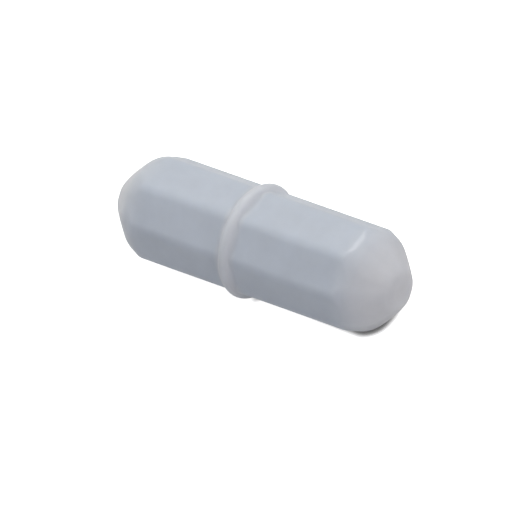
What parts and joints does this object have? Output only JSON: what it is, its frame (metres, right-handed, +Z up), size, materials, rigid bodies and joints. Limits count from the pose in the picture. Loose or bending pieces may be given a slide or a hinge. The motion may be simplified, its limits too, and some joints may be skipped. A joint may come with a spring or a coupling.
{
  "type": "magnetic stir bar",
  "caption": "Octagonal white PTFE stir bar with bevelled blunt ends and a moulded pivot ring round its middle, over a sealed rod magnet that a magnetic stirrer turns.",
  "frame": {"origin": "on the bar's long axis, midway between its two tips", "axes": "+X along the bar, away from the pivot ring's side of the middle; +Z up, with one of the eight flats square to it below"},
  "size_m": [0.0254, 0.0088, 0.0088],
  "materials": {
    "ptfe": "moulded PTFE, milky white, waxy satin",
    "magnet_alloy": "cast Alnico, grey, ground on its sides"
  },
  "bodies": {
    "root": {"ptfe_jacket": "ptfe", "magnet_core": "magnet_alloy"}
  },
  "joints": []
}
